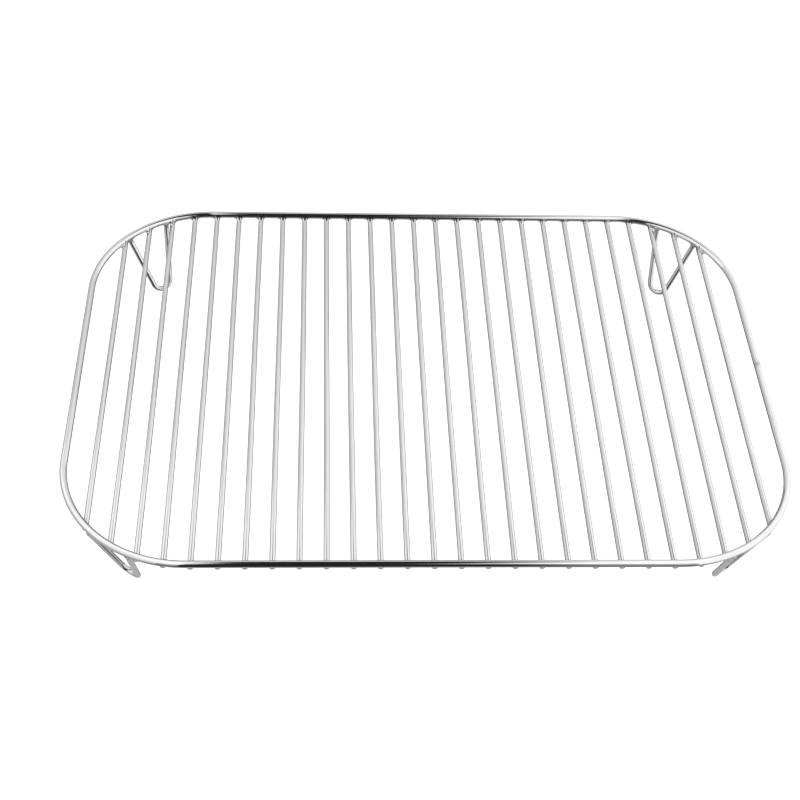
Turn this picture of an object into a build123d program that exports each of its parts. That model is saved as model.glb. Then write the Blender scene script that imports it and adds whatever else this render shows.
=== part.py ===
"""Wire grill grate for an air fryer basket: a bent rim ring, straight cross wires and four V-shaped legs.

Millimetres. +X runs along the long side, +Y to the back, +Z up. The origin is on the surface that the
grate stands on, below the middle of the rim. Every wire is welded: its end sinks a little into the underside
of the rim, so each end is coped to the rim's own surface.
"""

from build123d import *

import os
from math import asin, atan2, hypot, sqrt, tan

# Driving dimensions of the grate
rim_length = 300.0  # overall, outside the rim wire
rim_width = 213.0  # overall, outside the rim wire
overall_height = 33.0  # from the feet to the top of the rim
corner_radius = 52.5  # to the middle of the rim wire
rim_wire_d = 3.0

# Cross wires
wire_d = 2.4
wire_count = 27
end_gap = 12.0  # from the middle of the rim's short side to the first wire's middle
wire_overhang = 0.2  # how far a wire's sheared end reaches past the middle of the rim wire

# Welds
weld_sink = 0.5  # how deep a cross wire is pressed into the underside of the rim

# Legs
leg_wire_d = 2.4
leg_bend_radius = 4.5  # to the middle of the wire, at the foot
leg_foot_inset = 10.0  # how far the foot leans in from the line between the leg's two seats
leg_inner_wire = 3  # the leg spans from the first cross wire to this one, counted from the short side
leg_outer_step = 2.0  # along the long side, from the first cross wire's middle to the leg's outer end
leg_inner_gap = 0.7  # clear gap between the leg's inner end and its inner wire
leg_end_reach = 1.0  # how far an end runs on past the level of the cross wires, up to the rim

# Derived sizes
rim_r = rim_wire_d / 2
wire_r = wire_d / 2
leg_r = leg_wire_d / 2
half_length = rim_length / 2 - rim_r
half_width = rim_width / 2 - rim_r
rim_z = overall_height - rim_r
wire_z = rim_z - rim_r - wire_r + weld_sink
wire_span = 2 * (half_length - end_gap)
wire_pitch = wire_span / (wire_count - 1)


def rim_line_y(x):
    """Distance from the long axis to the middle of the rim wire, at a distance x from the short axis."""
    past_straight = abs(x) - (half_length - corner_radius)
    if past_straight <= 0:
        return half_width
    return half_width - corner_radius + sqrt(corner_radius**2 - past_straight**2)


def wire_x(index):
    """Place of a cross wire along the long side, counted from 0 at the left."""
    return -wire_span / 2 + index * wire_pitch


def make_rim():
    """One length of wire bent to a rounded rectangle and butt-welded into a ring."""
    outline = RectangleRounded(2 * half_length, 2 * half_width, corner_radius)
    path = Pos(0, 0, rim_z) * outline.wire()
    section = Plane(origin=path @ 0, z_dir=path % 0) * Circle(rim_r)
    return sweep(section, path=path)


def make_cross_wire(x, rim):
    """A straight wire under the rim from front to back, sheared square and coped where it is welded."""
    length = 2 * (rim_line_y(x) + wire_overhang)
    wire = Pos(x, 0, wire_z) * Rot(X=90) * Cylinder(wire_r, length)
    return wire - rim


def make_leg(rim):
    """The back right leg: a wire bent to a V with a round foot, leaning in, its ends coped under the rim."""
    outer_x = wire_span / 2 - leg_outer_step
    inner_x = wire_span / 2 - (leg_inner_wire - 1) * wire_pitch + wire_r + leg_r + leg_inner_gap
    outer_seat = Vector(outer_x, rim_line_y(outer_x), wire_z)
    inner_seat = Vector(inner_x, rim_line_y(inner_x), wire_z)

    chord = inner_seat - outer_seat
    top = (outer_seat + inner_seat) / 2
    inward = Vector(0, 0, 1).cross(chord).normalized()
    foot = top + inward * leg_foot_inset
    foot = Vector(foot.X, foot.Y, leg_r)

    # The arms are tangent to the foot's bend, so they would meet a little below it.
    half_chord = chord.length / 2
    drop = (foot - top).length
    to_bend = drop - leg_bend_radius
    half_angle = atan2(half_chord, to_bend) - asin(leg_bend_radius / hypot(half_chord, to_bend))
    corner = top + (foot - top).normalized() * (half_chord / tan(half_angle))

    outer_end = outer_seat + (outer_seat - corner).normalized() * leg_end_reach
    inner_end = inner_seat + (inner_seat - corner).normalized() * leg_end_reach
    path = FilletPolyline(outer_end, corner, inner_end, radius=leg_bend_radius)
    section = Plane(origin=path @ 0, z_dir=path % 0) * Circle(leg_r)
    return sweep(section, path=path) - rim


def make_parts():
    """Every piece of the grate by its node name."""
    rim = make_rim()
    parts = {"rim": rim}
    for index in range(wire_count):
        parts[f"cross_wire_{index + 1:02d}"] = make_cross_wire(wire_x(index), rim)
    back_right = make_leg(rim)
    back_left = mirror(back_right, about=Plane.YZ)
    parts["leg_back_right"] = back_right
    parts["leg_back_left"] = back_left
    parts["leg_front_right"] = mirror(back_right, about=Plane.XZ)
    parts["leg_front_left"] = mirror(back_left, about=Plane.XZ)
    return parts


def main():
    os.makedirs("parts", exist_ok=True)
    for name, shape in make_parts().items():
        export_step(shape, f"parts/{name}.step")


if __name__ == "__main__":
    main()
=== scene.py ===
"""Looks of the wire grill grate: bright drawn steel wire, welded into a grid, on a white studio floor.

Shapes are worked out in millimetres and turned to metres when their mesh is made.
"""

from math import asin, atan2, ceil, cos, hypot, pi, radians, sin, sqrt

import bpy
import numpy as np
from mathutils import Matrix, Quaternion, Vector


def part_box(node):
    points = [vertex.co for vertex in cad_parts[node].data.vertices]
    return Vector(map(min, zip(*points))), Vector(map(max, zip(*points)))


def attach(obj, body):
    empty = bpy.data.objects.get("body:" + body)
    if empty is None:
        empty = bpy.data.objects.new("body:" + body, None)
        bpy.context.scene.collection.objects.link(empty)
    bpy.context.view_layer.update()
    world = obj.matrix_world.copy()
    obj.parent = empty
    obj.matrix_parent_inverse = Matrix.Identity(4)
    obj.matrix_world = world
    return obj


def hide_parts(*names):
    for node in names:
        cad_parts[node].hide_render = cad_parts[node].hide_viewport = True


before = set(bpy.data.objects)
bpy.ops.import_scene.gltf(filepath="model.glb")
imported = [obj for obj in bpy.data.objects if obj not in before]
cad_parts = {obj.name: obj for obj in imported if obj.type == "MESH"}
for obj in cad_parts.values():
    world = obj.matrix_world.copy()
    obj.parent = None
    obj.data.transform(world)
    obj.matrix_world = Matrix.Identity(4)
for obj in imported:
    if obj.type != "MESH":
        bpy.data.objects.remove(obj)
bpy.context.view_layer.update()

MM = 0.001  # one millimetre in metres

# Wire sizes, as in the part
RIM_R = 1.5
WIRE_R = 1.2
LEG_R = 1.2
CORNER_RADIUS = 52.5  # of the rim, to the middle of its wire
LEG_BEND_RADIUS = 4.5  # to the middle of the wire, at the foot
LEG_FOOT_INSET = 10.0  # how far the foot leans in from the line between the leg's two seats
LEG_INNER_WIRE = 3  # the leg spans from the first cross wire to this one
LEG_OUTER_STEP = 2.0  # from the first cross wire's middle to the leg's outer end
LEG_INNER_GAP = 0.7  # clear gap between the leg's inner end and its inner wire
LEG_END_REACH = 1.0  # how far an end runs on past the level of the cross wires

# Small unevenness of real wire
WIRE_WAVE = 0.12  # how far a cross wire strays sideways between its welds
WAVE_TURNS = 2.1  # phase of the wave from a wire's middle to its end
WAVE_STEP = 1.7  # phase of one wire's wave after the one before
FINISH_STEP = 431.0  # start of one wire's drawn finish after the one before

# Welds
WELD_FILLET_TOP = 1.9  # reach of the squeezed metal in the crease on top of a wire, at its back end
WELD_FILLET_SIDE = 1.0  # and elsewhere round a weld
WELD_FLAT = 0.65  # half width of the pressed flat on that metal
WELD_FLAT_EDGE = 1.1  # half width where the flat has run out into the round wire
WELD_PRESSED = 0.08  # rise of the metal at which it is pressed fully flat
WELD_SEAT = 0.05  # how far a coped end lies below the rim's surface
WELD_TINT_AND_SHADE_REACH = 1.1  # how far the weld colour, darkened further by painted shade in the crease, spreads from the crease
BUTT_WELD_Y = 4.3  # place of the rim's own weld, on its right side
BUTT_GROOVE_DEPTH = 0.05  # of the dressed groove there
BUTT_GROOVE_WIDTH = 0.6
BUTT_TINT_REACH = 1.2  # how far the heat colour spreads from the groove

# Mesh fineness
RIM_SEGMENTS = 36  # points round the rim wire
WIRE_SEGMENTS = 28  # points round a cross wire or a leg
FINE_STEP = 0.3  # ring spacing beside a weld
FINE_REACH = 3.6  # how far the rim's fine rings go each side of a weld
END_FINE_REACH = 2 * FINE_REACH  # how far a wire's fine rings go in from its end
BUTT_FINENESS = 3  # how many times closer the rings are at the rim's own weld
RING_GAP = FINE_STEP / 4  # rings of the rim that are closer than this are left out
RIM_SEARCH_STEP = 0.1  # spacing of the places along the rim at which a weld is looked for
RIM_STEP = 2.0  # ring spacing of the rim elsewhere
WIRE_STEP = 4.5  # ring spacing of a cross wire elsewhere
LEG_STEP = 0.5  # ring spacing of a leg elsewhere
FILLET_STEPS = 12  # steps in which a point finds the fillet's surface
FILLET_EASE = 0.7  # share of the remaining way that a step goes
END_EDGE = 0.2  # rounding of a sheared end
END_STEPS = 5  # rings on that rounding

# Places read from the frame
CROSS_WIRES = sorted(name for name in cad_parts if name.startswith("cross_wire_"))
LEGS = sorted(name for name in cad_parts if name.startswith("leg_"))
rim_high = np.array(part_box("rim")[1]) / MM
HALF_LENGTH = rim_high[0] - RIM_R
HALF_WIDTH = rim_high[1] - RIM_R
RIM_Z = rim_high[2] - RIM_R
STRAIGHT_X = HALF_LENGTH - CORNER_RADIUS  # where the long sides end and the corners begin
STRAIGHT_Y = HALF_WIDTH - CORNER_RADIUS


def wire_line(name):
    """Place and reach of a cross wire: its x, its z and how far its ends are from the long axis."""
    low, high = (np.array(corner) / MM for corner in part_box(name))
    return (low[0] + high[0]) / 2, low[2] + WIRE_R, high[1]


wire_lines = [wire_line(name) for name in CROSS_WIRES]
WIRE_XS = sorted(x for x, _, _ in wire_lines)
WIRE_Z = wire_lines[0][1]

# Helpers


def fade(value, start, end, first, last):
    """Smooth change from first to last as a value goes from start to end."""
    share = np.clip((value - start) / (end - start), 0, 1)
    return first + (last - first) * share**2 * (3 - 2 * share)


def unit(vector):
    """The same direction, with a length of 1."""
    return vector / np.linalg.norm(vector)


# The lines that the wires follow

# Centres of the rim's corner arcs, anticlockwise from the front right
RIM_CORNERS = np.array(
    [
        (STRAIGHT_X, -STRAIGHT_Y),
        (STRAIGHT_X, STRAIGHT_Y),
        (-STRAIGHT_X, STRAIGHT_Y),
        (-STRAIGHT_X, -STRAIGHT_Y),
    ]
)
RIM_BEND = CORNER_RADIUS * pi / 2  # length of one corner arc
RIM_LENGTH = 4 * (STRAIGHT_X + STRAIGHT_Y + RIM_BEND)


def rim_at(length):
    """Point and outward direction of the rim's middle line, at a length from its right side's front end."""
    left = length % RIM_LENGTH
    for side in range(4):
        start = RIM_CORNERS[side]
        end = RIM_CORNERS[(side + 1) % 4]
        run = np.linalg.norm(end - start)
        angle = side * pi / 2
        if left <= run:
            centre = start + (end - start) * left / run
            break
        left -= run
        if left <= RIM_BEND:
            centre = end
            angle += left / CORNER_RADIUS
            break
        left -= RIM_BEND
    outward = np.array([cos(angle), sin(angle)])
    return centre + CORNER_RADIUS * outward, outward


def rim_y(x):
    """Distance from the long axis to the middle of the rim wire."""
    past = max(abs(x) - STRAIGHT_X, 0)
    return STRAIGHT_Y + sqrt(CORNER_RADIUS**2 - past**2)


class LegLine:
    """Middle line of the back right leg: two straight arms from the rim, tangent to a round foot."""

    def __init__(self):
        outer_x = WIRE_XS[-1] - LEG_OUTER_STEP
        inner_x = WIRE_XS[-LEG_INNER_WIRE] + WIRE_R + LEG_R + LEG_INNER_GAP
        self.outer_seat = np.array([outer_x, rim_y(outer_x), WIRE_Z])
        self.inner_seat = np.array([inner_x, rim_y(inner_x), WIRE_Z])
        chord = self.inner_seat - self.outer_seat
        top = (self.outer_seat + self.inner_seat) / 2
        foot = top + unit(np.cross((0, 0, 1), chord)) * LEG_FOOT_INSET
        foot[2] = LEG_R
        self.across = unit(chord)
        self.down = unit(foot - top)
        self.bend = foot - self.down * LEG_BEND_RADIUS
        half_chord = np.linalg.norm(chord) / 2
        to_bend = np.linalg.norm(self.bend - top)
        slant = hypot(half_chord, to_bend)
        half_angle = atan2(half_chord, to_bend) - asin(LEG_BEND_RADIUS / slant)
        self.turn = pi / 2 - half_angle  # of the bend, from the foot to each arm
        self.arm_start = LEG_BEND_RADIUS * self.turn
        self.reach = self.arm_start + sqrt(slant**2 - LEG_BEND_RADIUS**2) + LEG_END_REACH

    def at(self, places):
        """Points and directions at lengths from the foot, towards the outer end where they are negative."""
        turn = np.clip(places / LEG_BEND_RADIUS, -self.turn, self.turn)[:, None]
        tangents = np.cos(turn) * self.across - np.sin(turn) * self.down
        round_foot = self.bend + LEG_BEND_RADIUS * (np.sin(turn) * self.across + np.cos(turn) * self.down)
        return round_foot + (places[:, None] - LEG_BEND_RADIUS * turn) * tangents, tangents

    def arms(self):
        """The two straight arms, each from its seat under the rim to the bend."""
        outer_foot, inner_foot = self.at(np.array([-self.arm_start, self.arm_start]))[0]
        return (self.outer_seat, outer_foot), (self.inner_seat, inner_foot)


leg_line = LegLine()


def leg_side(name):
    """Signs that turn the back right leg into another one."""
    return np.array([1 if "right" in name else -1, 1 if "back" in name else -1, 1])


arms = [[leg_side(name) * point for point in arm] for name in LEGS for arm in leg_line.arms()]

# Distances to the wires, which the welds follow


def plan_offset(x, y):
    """Signed distance in plan from the middle of the rim wire, positive outside the ring."""
    past_x = np.abs(x) - STRAIGHT_X
    past_y = np.abs(y) - STRAIGHT_Y
    beyond = np.hypot(np.maximum(past_x, 0), np.maximum(past_y, 0))
    return beyond + np.minimum(np.maximum(past_x, past_y), 0) - CORNER_RADIUS


def rim_distance(points):
    """Distance from points to the rim's surface, negative inside the wire."""
    return np.hypot(plan_offset(points[:, 0], points[:, 1]), points[:, 2] - RIM_Z) - RIM_R


def rod_distance(points, start, end, radius):
    """Distance from points to a round rod from start to end, with round ends."""
    along = end - start
    share = np.clip((points - start) @ along / (along @ along), 0, 1)
    return np.linalg.norm(points - start - share[:, None] * along, axis=1) - radius


def sheared_distance(points, x, z, reach):
    """Distance from points to a cross wire whose sheared ends are at -reach and reach."""
    radial = np.hypot(points[:, 0] - x, points[:, 2] - z) - (WIRE_R - END_EDGE)
    axial = np.abs(points[:, 1]) - (reach - END_EDGE)
    outside = np.hypot(np.maximum(radial, 0), np.maximum(axial, 0))
    return outside + np.minimum(np.maximum(radial, axial), 0) - END_EDGE


def members_distance(points):
    """Distance from points to the nearest cross wire or leg arm."""
    nearest = np.full(len(points), np.inf)
    for x, z, reach in wire_lines:
        nearest = np.minimum(nearest, sheared_distance(points, x, z, reach))
    for seat, foot in arms:
        nearest = np.minimum(nearest, rod_distance(points, seat, foot, LEG_R))
    return nearest


def slope(distance, points, step=0.01):
    """Direction in which a distance grows fastest."""
    rows = []
    for axis in np.eye(3) * step:
        rows.append(distance(points + axis) - distance(points - axis))
    rows = np.stack(rows, axis=1)
    return rows / np.linalg.norm(rows, axis=1)[:, None]


def weld_rise(points, normals, other):
    """How far each point rises along its normal to the smooth fillet between its own wire and another."""
    rise = np.zeros(len(points))
    for _ in range(FILLET_STEPS):
        places = points + rise[:, None] * normals
        gap = other(places)
        top = np.where(places[:, 1] > 0, WELD_FILLET_TOP, WELD_FILLET_SIDE)
        fillet = fade(places[:, 2], WIRE_Z, WIRE_Z + WIRE_R, WELD_FILLET_SIDE, top)
        near = np.maximum(fillet - np.abs(gap - rise), 0) / fillet
        blended = np.minimum(gap, rise) - near**2 * fillet / 4
        rise -= FILLET_EASE * blended
    hidden = other(points) < -WELD_SEAT
    return np.where(hidden, 0, rise)


def seat_on_rim(points):
    """Cope points that lie inside the rim back to just below its surface."""
    depth = -WELD_SEAT - rim_distance(points)
    inside = depth > 0
    points[inside] += depth[inside, None] * slope(rim_distance, points[inside])
    return points


def weld_tint_and_crease_shade(points, other):
    """Strength of the weld colour and of the painted shade in the crease at each point, from 0 to 1, by its
    distance from another wire.
    """
    gap = np.maximum(other(points), 0)
    return np.exp(-((gap / WELD_TINT_AND_SHADE_REACH) ** 2))


# Wire meshes


class Rings:
    """Rings of points along a wire, with the direction out of the surface at each point."""

    def __init__(self, centres, tangents, sides, radii, leans, along, segments):
        ups = np.cross(tangents, sides)
        angle = np.arange(segments) * 2 * pi / segments
        across = np.cos(angle)[None, :, None] * sides[:, None] + np.sin(angle)[None, :, None] * ups[:, None]
        self.shape = (len(centres), segments)
        self.points = (centres[:, None] + radii[:, None, None] * across).reshape(-1, 3)
        tilt = leans[:, None, None]
        self.normals = (np.cos(tilt) * across + np.sin(tilt) * tangents[:, None]).reshape(-1, 3)
        # The place of each point on the straight wire before it was bent, which the drawn finish follows
        self.drawn = np.stack(
            [
                np.repeat(along, segments),
                np.outer(radii, np.cos(angle)).ravel(),
                np.outer(radii, np.sin(angle)).ravel(),
            ],
            axis=1,
        )


def ring_mesh(name, rings, tint_and_shade, closed):
    """A smooth mesh piece from rings: joined end to end if closed, or with a fan over each end."""
    count, segments = rings.shape
    points = rings.points
    drawn = rings.drawn
    rows = count if closed else count - 1
    ring = np.arange(rows)[:, None]
    step = np.arange(segments)[None, :]
    here = ring * segments
    there = (ring + 1) % count * segments
    turn = (step + 1) % segments
    quads = np.stack([here + step, here + turn, there + turn, there + step], axis=-1).reshape(-1, 4)
    faces = quads.tolist()
    if not closed:
        last = (count - 1) * segments
        for first, flip in ((0, True), (last, False)):
            centre = len(points)
            ends = slice(first, first + segments)
            points = np.vstack([points, points[ends].mean(axis=0)])
            drawn = np.vstack([drawn, drawn[ends].mean(axis=0)])
            tint_and_shade = np.append(tint_and_shade, tint_and_shade[ends].mean())
            for spot in range(segments):
                pair = (first + spot, first + (spot + 1) % segments)
                faces.append((pair[1], pair[0], centre) if flip else (pair[0], pair[1], centre))
    mesh = bpy.data.meshes.new(name)
    mesh.from_pydata((points * MM).tolist(), [], faces)
    mesh.polygons.foreach_set("use_smooth", [True] * len(mesh.polygons))
    place = mesh.attributes.new("drawn", "FLOAT_VECTOR", "POINT")
    place.data.foreach_set("vector", np.asarray(drawn, np.float32).ravel())
    # Weld colour together with painted crease shade, for each point, which the steel's material reads
    tint_and_shade_layer = mesh.attributes.new("weld_tint_and_crease_shade", "FLOAT", "POINT")
    tint_and_shade_layer.data.foreach_set("value", np.asarray(tint_and_shade, np.float32))
    mesh.update()
    piece = bpy.data.objects.new(name, mesh)
    bpy.context.scene.collection.objects.link(piece)
    return piece


def rim_stations():
    """Lengths along the rim where it gets a ring of points: close together at a weld, wider elsewhere."""
    table = np.arange(0, RIM_LENGTH, RIM_SEARCH_STEP)
    places = np.array([rim_at(length)[0] for length in table])
    butt = table[np.linalg.norm(places - (HALF_LENGTH, BUTT_WELD_Y), axis=1).argmin()]
    welds = [(x, side * rim_y(x)) for x in WIRE_XS for side in (-1, 1)]
    welds += [seat[:2] for seat, _ in arms]
    fine = np.arange(-FINE_REACH, FINE_REACH + FINE_STEP / 2, FINE_STEP)
    lengths = [np.arange(0, RIM_LENGTH, RIM_STEP), butt + fine / BUTT_FINENESS]
    for weld in welds:
        nearest = table[np.linalg.norm(places - weld, axis=1).argmin()]
        lengths.append(nearest + fine)
    # Counted from the butt weld, so that the drawn finish breaks off there
    lengths = np.sort((np.concatenate(lengths) - butt) % RIM_LENGTH)
    keep = np.append(True, np.diff(lengths) > RING_GAP)
    return lengths[keep], butt


def make_rim():
    """The rim ring, with a fillet at every weld and a dressed groove where its own ends are butt-welded."""
    lengths, butt = rim_stations()
    line = [rim_at(length + butt) for length in lengths]
    centres = np.array([(*place, RIM_Z) for place, _ in line])
    outward = np.array([(*side, 0) for _, side in line])
    tangents = np.cross((0, 0, 1), outward)
    from_butt = np.minimum(lengths, RIM_LENGTH - lengths)
    radii = RIM_R - BUTT_GROOVE_DEPTH * np.exp(-((from_butt / BUTT_GROOVE_WIDTH) ** 2))
    rings = Rings(centres, tangents, outward, radii, np.zeros(len(lengths)), lengths, RIM_SEGMENTS)
    rise = weld_rise(rings.points, rings.normals, members_distance)
    # Darker grey round each weld on the rim: weld colour, with painted shade in the crease where a wire
    # meets it
    tint_and_shade = weld_tint_and_crease_shade(rings.points, members_distance)
    butt_heat = np.exp(-((from_butt / BUTT_TINT_REACH) ** 2))
    tint_and_shade = np.maximum(tint_and_shade, np.repeat(butt_heat, RIM_SEGMENTS))
    rings.points += rise[:, None] * rings.normals
    # The squeezed metal stays inside the rim's overall size
    overall = rim_high[:2]
    rings.points[:, :2] = np.clip(rings.points[:, :2], -overall, overall)
    return ring_mesh("rim_ring", rings, tint_and_shade, closed=True)


def stations(reach, coarse):
    """Places along a wire from one sheared end to the other, and how far the surface leans over at each."""
    edge_leans = np.linspace(0, pi / 2, END_STEPS)
    edge = reach - END_EDGE * (1 - np.sin(edge_leans))
    fine = np.arange(edge[0] - FINE_STEP, reach - END_FINE_REACH, -FINE_STEP)[::-1]
    half = np.concatenate([fine, edge])
    half_leans = np.append(np.zeros(len(fine)), edge_leans)
    middle = np.linspace(-fine[0], fine[0], ceil(2 * fine[0] / coarse) + 1)[1:-1]
    places = np.concatenate([-half[::-1], middle, half])
    leans = np.concatenate([-half_leans[::-1], np.zeros(len(middle)), half_leans])
    return places, leans


def press_flat(rings, rise, middles):
    """Flatten the squeezed metal on top of a cross wire's back end, as the welding jaw leaves it."""
    count, segments = rings.shape
    points = rings.points.reshape(count, segments, 3)
    beside = np.abs(points[:, :, 0] - middles[:, None])
    top = points[:, :1, 2]
    pressed = np.clip(rise.reshape(count, segments)[:, :1] / WELD_PRESSED, 0, 1)
    upper = rings.normals.reshape(count, segments, 3)[:, :, 2] > 0
    at_back = points[:, :, 1] > 0
    lift = np.maximum(top - points[:, :, 2], 0) * pressed * upper * at_back
    points[:, :, 2] += lift * fade(beside, WELD_FLAT, WELD_FLAT_EDGE, 1, 0)


def weld_to_rim(name, rings, flat_across=None):
    """Give a wire's rings their weld fillets and coped seats on the rim, and make the piece."""
    rise = weld_rise(rings.points, rings.normals, rim_distance)
    # Darker grey round the weld: weld colour, with painted shade in the crease under the rim
    tint_and_shade = weld_tint_and_crease_shade(rings.points, rim_distance)
    rings.points += rise[:, None] * rings.normals
    if flat_across is not None:
        press_flat(rings, rise, flat_across)
    rings.points = seat_on_rim(rings.points)
    return ring_mesh(name, rings, tint_and_shade, closed=False)


def make_cross_wire(name, index):
    """A straight cross wire with sheared ends, coped and filleted where it is welded under the rim."""
    x, z, reach = wire_line(name)
    places, leans = stations(reach, WIRE_STEP)
    # Drawn wire is never quite straight: a slow sideways wave that dies out at the welds
    share = places / reach
    wave = WIRE_WAVE * (1 - share**2) * np.sin(WAVE_TURNS * share + WAVE_STEP * index)
    centres = np.stack([x + wave, places, np.full(len(places), z)], axis=1)
    tangents = np.tile((0.0, 1.0, 0.0), (len(places), 1))
    sides = np.tile((0.0, 0.0, 1.0), (len(places), 1))
    radii = WIRE_R - END_EDGE * (1 - np.cos(leans))
    rings = Rings(centres, tangents, sides, radii, leans, places + FINISH_STEP * index, WIRE_SEGMENTS)
    return weld_to_rim(f"{name}_wire", rings, flat_across=x + wave)


def make_leg(name, index):
    """A V-shaped leg: two straight arms and a round foot, its ends coped and welded under the rim."""
    places, leans = stations(leg_line.reach, LEG_STEP)
    centres, tangents = (leg_side(name) * rows for rows in leg_line.at(places))
    plane = leg_side(name) * np.cross(leg_line.across, leg_line.down)
    sides = np.tile(plane, (len(places), 1))
    radii = LEG_R - END_EDGE * (1 - np.cos(leans))
    rings = Rings(centres, tangents, sides, radii, leans, places + FINISH_STEP * index, WIRE_SEGMENTS)
    return weld_to_rim(f"{name}_wire", rings)


# Materials


def linear(colour):
    """Linear colour, with alpha, from an sRGB hex value."""
    parts = [int(colour[i : i + 2], 16) / 255 for i in (1, 3, 5)]
    return [p / 12.92 if p <= 0.04045 else ((p + 0.055) / 1.055) ** 2.4 for p in parts] + [1.0]


# Sockets of a mix node's colours, which share their names with its other sockets
MIX_FIRST = 6
MIX_SECOND = 7
MIX_RESULT = 2


def add_node(tree, kind, settings=None, inputs=None):
    """Add a node to a tree, with its settings, and with a value or a link for each input."""
    node = tree.nodes.new(kind)
    for name, value in (settings or {}).items():
        setattr(node, name, value)
    for name, value in (inputs or {}).items():
        if isinstance(value, bpy.types.NodeSocket):
            tree.links.new(value, node.inputs[name])
        else:
            node.inputs[name].default_value = value
    return node


def stainless_wire():
    """Stainless steel wire, drawn and electropolished: a bright mirror with faint lines along the wire.

    The polish takes off most of the die lines, and the welds keep a duller grey, made darker still by
    painted shade in the creases where wires meet.
    """
    material = bpy.data.materials.new("electropolished_stainless_wire")
    material.use_nodes = True
    tree = material.node_tree
    tree.nodes.clear()
    place = add_node(tree, "ShaderNodeAttribute", {"attribute_name": "drawn"})
    # Die lines are a few hundredths of a millimetre apart and run for centimetres: drawn coarser to show
    line_spacing = 0.22
    line_length = 30.0
    line_depth = 0.02
    line_strength = 0.12
    noise_low = 0.3  # the noise seldom leaves this range
    noise_high = 0.7
    polished_roughness = 0.04  # the smoothest of the die lines
    lined_roughness = 0.10  # the roughest of them
    welded_roughness = 0.08
    stretched = add_node(
        tree,
        "ShaderNodeMapping",
        inputs={
            "Vector": place.outputs["Vector"],
            "Scale": (1 / line_length, 1 / line_spacing, 1 / line_spacing),
        },
    )
    lines = add_node(
        tree,
        "ShaderNodeTexNoise",
        inputs={"Vector": stretched.outputs["Vector"], "Scale": 1.0, "Detail": 3.0, "Roughness": 0.6},
    )
    # The acid bath leaves soft cloudy patches about a centimetre long
    patch_length = 11.0
    patch_width = 2.5
    patched = add_node(
        tree,
        "ShaderNodeMapping",
        inputs={
            "Vector": place.outputs["Vector"],
            "Scale": (1 / patch_length, 1 / patch_width, 1 / patch_width),
        },
    )
    patches = add_node(
        tree,
        "ShaderNodeTexNoise",
        inputs={"Vector": patched.outputs["Vector"], "Scale": 1.0, "Detail": 2.0},
    )
    # Darker, duller grey near the welds: weld colour, with painted shade in the creases where wires meet
    tint_and_shade = add_node(tree, "ShaderNodeAttribute", {"attribute_name": "weld_tint_and_crease_shade"})
    bright = add_node(
        tree,
        "ShaderNodeMix",
        {"data_type": "RGBA"},
        {
            "Factor": patches.outputs["Fac"],
            MIX_FIRST: linear("#dcddde"),
            MIX_SECOND: linear("#e9eaea"),
        },
    )
    # Base colour mixed toward grey by the weld colour and painted crease shade
    tinted_and_shaded = add_node(
        tree,
        "ShaderNodeMix",
        {"data_type": "RGBA"},
        {
            "Factor": tint_and_shade.outputs["Fac"],
            MIX_FIRST: bright.outputs[MIX_RESULT],
            MIX_SECOND: linear("#b8b8b8"),
        },
    )
    polish = add_node(
        tree,
        "ShaderNodeMapRange",
        inputs={
            "Value": lines.outputs["Fac"],
            "From Min": noise_low,
            "From Max": noise_high,
            "To Min": polished_roughness,
            "To Max": lined_roughness,
        },
    )
    dulled = add_node(
        tree,
        "ShaderNodeMix",
        {"data_type": "FLOAT"},
        {"Factor": tint_and_shade.outputs["Fac"], "A": polish.outputs["Result"], "B": welded_roughness},
    )
    grooves = add_node(
        tree,
        "ShaderNodeBump",
        inputs={
            "Strength": line_strength,
            "Distance": line_depth * MM,
            "Height": lines.outputs["Fac"],
        },
    )
    steel = add_node(
        tree,
        "ShaderNodeBsdfPrincipled",
        inputs={
            "Metallic": 1.0,
            "Base Color": tinted_and_shaded.outputs[MIX_RESULT],
            "Roughness": dulled.outputs[0],
            "Normal": grooves.outputs["Normal"],
        },
    )
    add_node(tree, "ShaderNodeOutputMaterial", inputs={"Surface": steel.outputs["BSDF"]})
    return material


PAPER_GLOW = 1.15  # the paper's own light, so strong that no shadow shows on it


def white_paper():
    """Seamless white background paper: matt, with no gloss, lit until it is as white as the page."""
    material = bpy.data.materials.new("matt_white_paper")
    material.use_nodes = True
    tree = material.node_tree
    tree.nodes.clear()
    paper = add_node(
        tree,
        "ShaderNodeBsdfPrincipled",
        inputs={
            "Base Color": linear("#f6f6f6"),
            "Roughness": 1.0,
            "Specular IOR Level": 0.0,
            "Emission Color": linear("#ffffff"),
            "Emission Strength": PAPER_GLOW,
        },
    )
    add_node(tree, "ShaderNodeOutputMaterial", inputs={"Surface": paper.outputs["BSDF"]})
    return material


# Build the pieces

steel = stainless_wire()


def dress(piece, node):
    """Let a piece stand for its CAD node, ride with the grate and take the wire's finish."""
    piece.data.materials.append(steel)
    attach(piece, "root")
    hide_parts(node)


dress(make_rim(), "rim")
for index, name in enumerate(CROSS_WIRES):
    dress(make_cross_wire(name, index), name)
for index, name in enumerate(LEGS):
    dress(make_leg(name, index + len(CROSS_WIRES) + 1), name)

# Studio: a white floor in a tent of lit cloth, with a slot that the camera looks in through

FLOOR_SIZE = 8.0  # metres
TENT_LEFT = -400.0
TENT_RIGHT = 400.0
TENT_FRONT = -700.0
TENT_BACK = 490.0
TENT_TOP = 632.0
TENT_BOTTOM = -300.0  # below the floor, which the steel doesn't mirror
TENT_STEP = 20.0  # fineness of the cloth's mesh
# Brightness, where 1 is the white of the page
SLOT_GLOW = 0.02
PAPER_BELOW = 0.5  # straight below the grate
DARK_BELOW = 0.1  # further out, past the paper
PAPER_EDGE = -0.85  # z of a direction of length 1 at which the paper starts to fade
DARK_EDGE = -0.62  # and at which it has gone dark

# In the five functions below, a pair of places says where a change of light begins and ends, and a pair
# named lit says how bright the cloth is at the two.


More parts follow.
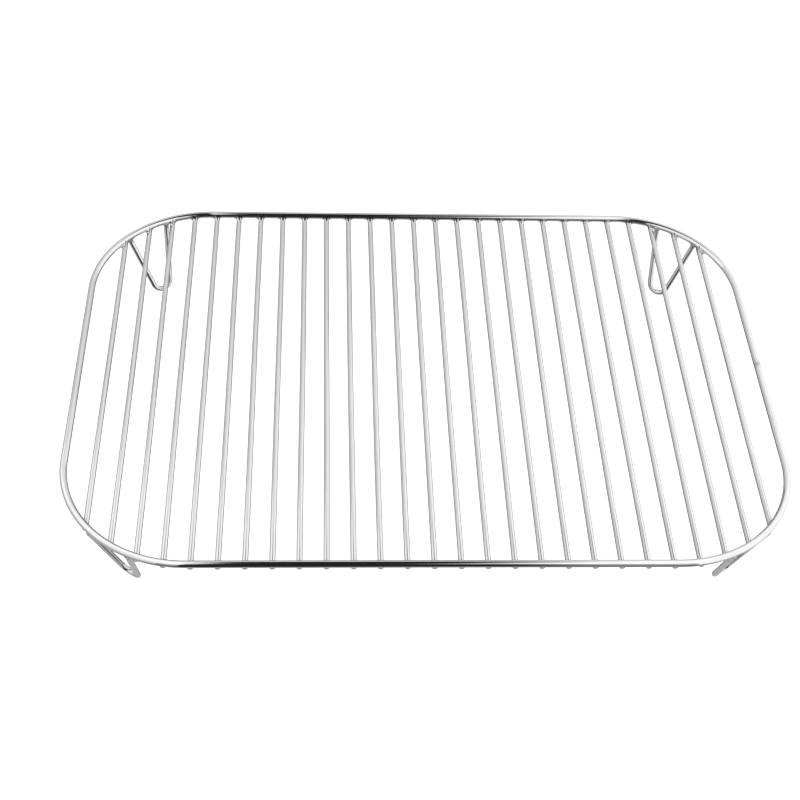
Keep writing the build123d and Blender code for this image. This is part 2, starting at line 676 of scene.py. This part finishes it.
def top_glow(x, y, z):
    """Two banks of light with the dark slot between them, which is soft on its right side."""
    banks_run = (150, 480)
    banks_lit = (1.3, 1.05)
    slot_left = (-152, -122)
    slot_left_turn = (-700, -350)
    slot_left_flare = 60  # how far the slot's left edge turns out at the front
    slot_right = (75, 215)
    slot_right_slant = 0.1  # how fast the slot's right edge moves out towards the back
    slot_end = (340, 430)
    slot_end_share = 0.85  # of the banks' light, past the slot's end
    banks = fade(y, *banks_run, *banks_lit)
    right_of_slot = fade(x - slot_right_slant * y, *slot_right, 0, 1)
    left_of_slot = fade(x + fade(y, *slot_left_turn, slot_left_flare, 0), *slot_left, 1, 0)
    beside_slot = np.maximum(left_of_slot, right_of_slot)
    behind_slot = fade(y, *slot_end, 0, slot_end_share)
    return SLOT_GLOW + (banks - SLOT_GLOW) * np.maximum(beside_slot, behind_slot)


def right_glow(x, y, z):
    """Bright cloth, dimmer at its foot, most of all towards the back."""
    front_rise = (-300, 50)
    front_lit = (0.6, 1.22)
    back_rise = (-200, 60)
    back_lit = (0.5, 1.22)
    back_run = (80, 220)
    front = fade(z, *front_rise, *front_lit)
    back = fade(z, *back_rise, *back_lit)
    return front + (back - front) * fade(y, *back_run, 0, 1)


def left_glow(x, y, z):
    """Dim at the foot, and grey past a slanting edge towards the back."""
    front_rise = (-300, 0)
    front_lit = (0.4, 0.55)
    back_rise = (-160, 60)
    back_lit = (0.42, 0.57)
    back_run = (100, 250)
    lamp_rise = (0, 220)
    lamp_lit = (0, 0.67)
    lamp_edge = (150, 200)
    lamp_edge_slant = 0.4  # how fast the lamp's edge moves back with height
    lamp_edge_share = (1, 0.12)  # of the lamp's light, across that edge
    lamp_front = (-250, -80)
    lamp_front_share = (0.7, 1)
    front = fade(z, *front_rise, *front_lit)
    back = fade(z, *back_rise, *back_lit)
    low = front + (back - front) * fade(y, *back_run, 0, 1)
    lit = fade(z, *lamp_rise, *lamp_lit)
    lit = lit * fade(y - lamp_edge_slant * z, *lamp_edge, *lamp_edge_share)
    lit = lit * fade(y, *lamp_front, *lamp_front_share)
    return low + lit


def back_glow(x, y, z):
    """Grey cloth, lighter to the top and to the right, with a dark opening low in its middle."""
    foot_rise = (-250, 20)
    foot_lit = (0.25, 0.5)
    top_rise = (0, 550)
    top_lit = (0, 0.42)
    right_run = (-100, 300)
    right_lit = (0, 0.1)
    shade_run = (-330, -170)
    shade_lost = (0.15, 0)
    shade_rise = (100, 300)
    opening_left = (-200, -150)
    opening_right = (50, 150)
    opening_top = (170, 300)
    opening_foot = (40, 110)
    cloth = fade(z, *foot_rise, *foot_lit) + fade(z, *top_rise, *top_lit) + fade(x, *right_run, *right_lit)
    cloth -= fade(x, *shade_run, *shade_lost) * fade(z, *shade_rise, 0, 1)
    beside = np.maximum(fade(x, *opening_left, 1, 0), fade(x, *opening_right, 0, 1))
    over_and_under = np.maximum(fade(z, *opening_top, 0, 1), fade(z, *opening_foot, 1, 0))
    return SLOT_GLOW + (cloth - SLOT_GLOW) * np.maximum(beside, over_and_under)


def front_glow(x, y, z):
    """Grey cloth with the lower end of the slot."""
    foot_rise = (-150, 0)
    foot_lit = (0.08, 0.45)
    top_rise = (150, 632)
    top_lit = (0, 0.5)
    slot_left = (-240, -200)
    slot_right = (100, 210)
    cloth = fade(z, *foot_rise, *foot_lit) + fade(z, *top_rise, *top_lit)
    beside_slot = np.maximum(fade(x, *slot_left, 1, 0), fade(x, *slot_right, 0, 1))
    return SLOT_GLOW + (cloth - SLOT_GLOW) * beside_slot


def make_floor():
    """The white paper that the grate stands on."""
    half = FLOOR_SIZE / 2
    mesh = bpy.data.meshes.new("floor")
    corners = [(-half, -half, 0), (half, -half, 0), (half, half, 0), (-half, half, 0)]
    mesh.from_pydata(corners, [], [(0, 1, 2, 3)])
    mesh.materials.append(white_paper())
    floor = bpy.data.objects.new("floor", mesh)
    bpy.context.scene.collection.objects.link(floor)
    # The steel mirrors the room round the paper, which is darker than the overexposed paper itself
    floor.visible_glossy = False


def lit_cloth():
    """Translucent white tent cloth, lit from outside: matt, as bright as each place of the tent is lit."""
    material = bpy.data.materials.new("lit_tent_cloth")
    material.use_nodes = True
    tree = material.node_tree
    tree.nodes.clear()
    glow = add_node(tree, "ShaderNodeAttribute", {"attribute_name": "glow"})
    cloth = add_node(
        tree, "ShaderNodeEmission", inputs={"Color": linear("#ffffff"), "Strength": glow.outputs["Fac"]}
    )
    add_node(tree, "ShaderNodeOutputMaterial", inputs={"Surface": cloth.outputs["Emission"]})
    # It is found by the mirrored rays alone, which keeps the picture free of grain
    material.cycles.emission_sampling = "NONE"
    return material


def make_wall(name, glow, cloth, corner, first_edge, second_edge):
    """One side of the tent, out of the camera's sight, from a corner and the two edges that leave it."""
    counts = [ceil(np.linalg.norm(edge) / TENT_STEP) + 1 for edge in (first_edge, second_edge)]
    first, second = (np.linspace(0, 1, count) for count in counts)
    rows, columns = counts
    along = first[:, None, None] * np.array(first_edge) + second[None, :, None] * np.array(second_edge)
    points = (np.array(corner) + along).reshape(-1, 3)
    low = (np.arange(rows - 1)[:, None] * columns + np.arange(columns - 1)[None, :]).ravel()
    faces = np.stack([low, low + 1, low + columns + 1, low + columns], axis=1)
    mesh = bpy.data.meshes.new(name)
    mesh.from_pydata((points * MM).tolist(), [], faces.tolist())
    lit = mesh.attributes.new("glow", "FLOAT", "POINT")
    lit.data.foreach_set("value", np.asarray(glow(*points.T), np.float32))
    mesh.materials.append(cloth)
    wall = bpy.data.objects.new(name, mesh)
    bpy.context.scene.collection.objects.link(wall)
    # Only the steel sees the tent, so that it casts no shadow on the paper outside it
    wall.visible_camera = False
    wall.visible_diffuse = False
    wall.visible_shadow = False


def make_tent():
    """Five sides of lit cloth round the grate, open below."""
    cloth = lit_cloth()
    length = (0, TENT_BACK - TENT_FRONT, 0)
    width = (TENT_RIGHT - TENT_LEFT, 0, 0)
    height = (0, 0, TENT_TOP - TENT_BOTTOM)
    make_wall("tent_top", top_glow, cloth, (TENT_LEFT, TENT_FRONT, TENT_TOP), width, length)
    make_wall("tent_left", left_glow, cloth, (TENT_LEFT, TENT_FRONT, TENT_BOTTOM), length, height)
    make_wall("tent_right", right_glow, cloth, (TENT_RIGHT, TENT_FRONT, TENT_BOTTOM), length, height)
    make_wall("tent_back", back_glow, cloth, (TENT_LEFT, TENT_BACK, TENT_BOTTOM), width, height)
    make_wall("tent_front", front_glow, cloth, (TENT_LEFT, TENT_FRONT, TENT_BOTTOM), width, height)


def make_room():
    """What lies outside the tent: the paper below for the steel, and a plain white page for the camera."""
    world = bpy.data.worlds.new("studio")
    bpy.context.scene.world = world
    world.use_nodes = True
    tree = world.node_tree
    tree.nodes.clear()
    coords = add_node(tree, "ShaderNodeTexCoord")
    axes = add_node(tree, "ShaderNodeSeparateXYZ", inputs={"Vector": coords.outputs["Generated"]})
    below = add_node(
        tree,
        "ShaderNodeMapRange",
        {"interpolation_type": "SMOOTHSTEP"},
        {
            "Value": axes.outputs["Z"],
            "From Min": PAPER_EDGE,
            "From Max": DARK_EDGE,
            "To Min": PAPER_BELOW,
            "To Max": DARK_BELOW,
        },
    )
    mirrored = add_node(
        tree, "ShaderNodeBackground", inputs={"Color": (1, 1, 1, 1), "Strength": below.outputs["Result"]}
    )
    page = add_node(tree, "ShaderNodeBackground", inputs={"Color": (1, 1, 1, 1), "Strength": 1.0})
    rays = add_node(tree, "ShaderNodeLightPath")
    both = add_node(
        tree,
        "ShaderNodeMixShader",
        inputs={0: rays.outputs["Is Camera Ray"], 1: mirrored.outputs[0], 2: page.outputs[0]},
    )
    add_node(tree, "ShaderNodeOutputWorld", inputs={"Surface": both.outputs[0]})


# Camera at the photograph's viewpoint
CAMERA_PLACE = (-44.70, -458.15, 494.32)
CAMERA_TARGET = (-10.68, -17.43, 31.5)
CAMERA_ROLL = radians(3.416)
FOCAL_PIXELS = 1498.4
IMAGE_PIXELS = 800
SENSOR_WIDTH = 36.0  # millimetres


def make_camera():
    """A camera with the photograph's place, aim, roll and focal length."""
    data = bpy.data.cameras.new("camera")
    data.sensor_width = SENSOR_WIDTH
    data.lens = FOCAL_PIXELS / IMAGE_PIXELS * SENSOR_WIDTH
    camera = bpy.data.objects.new("camera", data)
    bpy.context.scene.collection.objects.link(camera)
    place = Vector(CAMERA_PLACE)
    look = Vector(CAMERA_TARGET) - place
    camera.location = place * MM
    camera.rotation_mode = "QUATERNION"
    camera.rotation_quaternion = look.to_track_quat("-Z", "Y") @ Quaternion((0, 0, 1), CAMERA_ROLL)
    bpy.context.scene.camera = camera


make_floor()
make_tent()
make_room()
make_camera()
bpy.context.scene.view_settings.view_transform = "Standard"
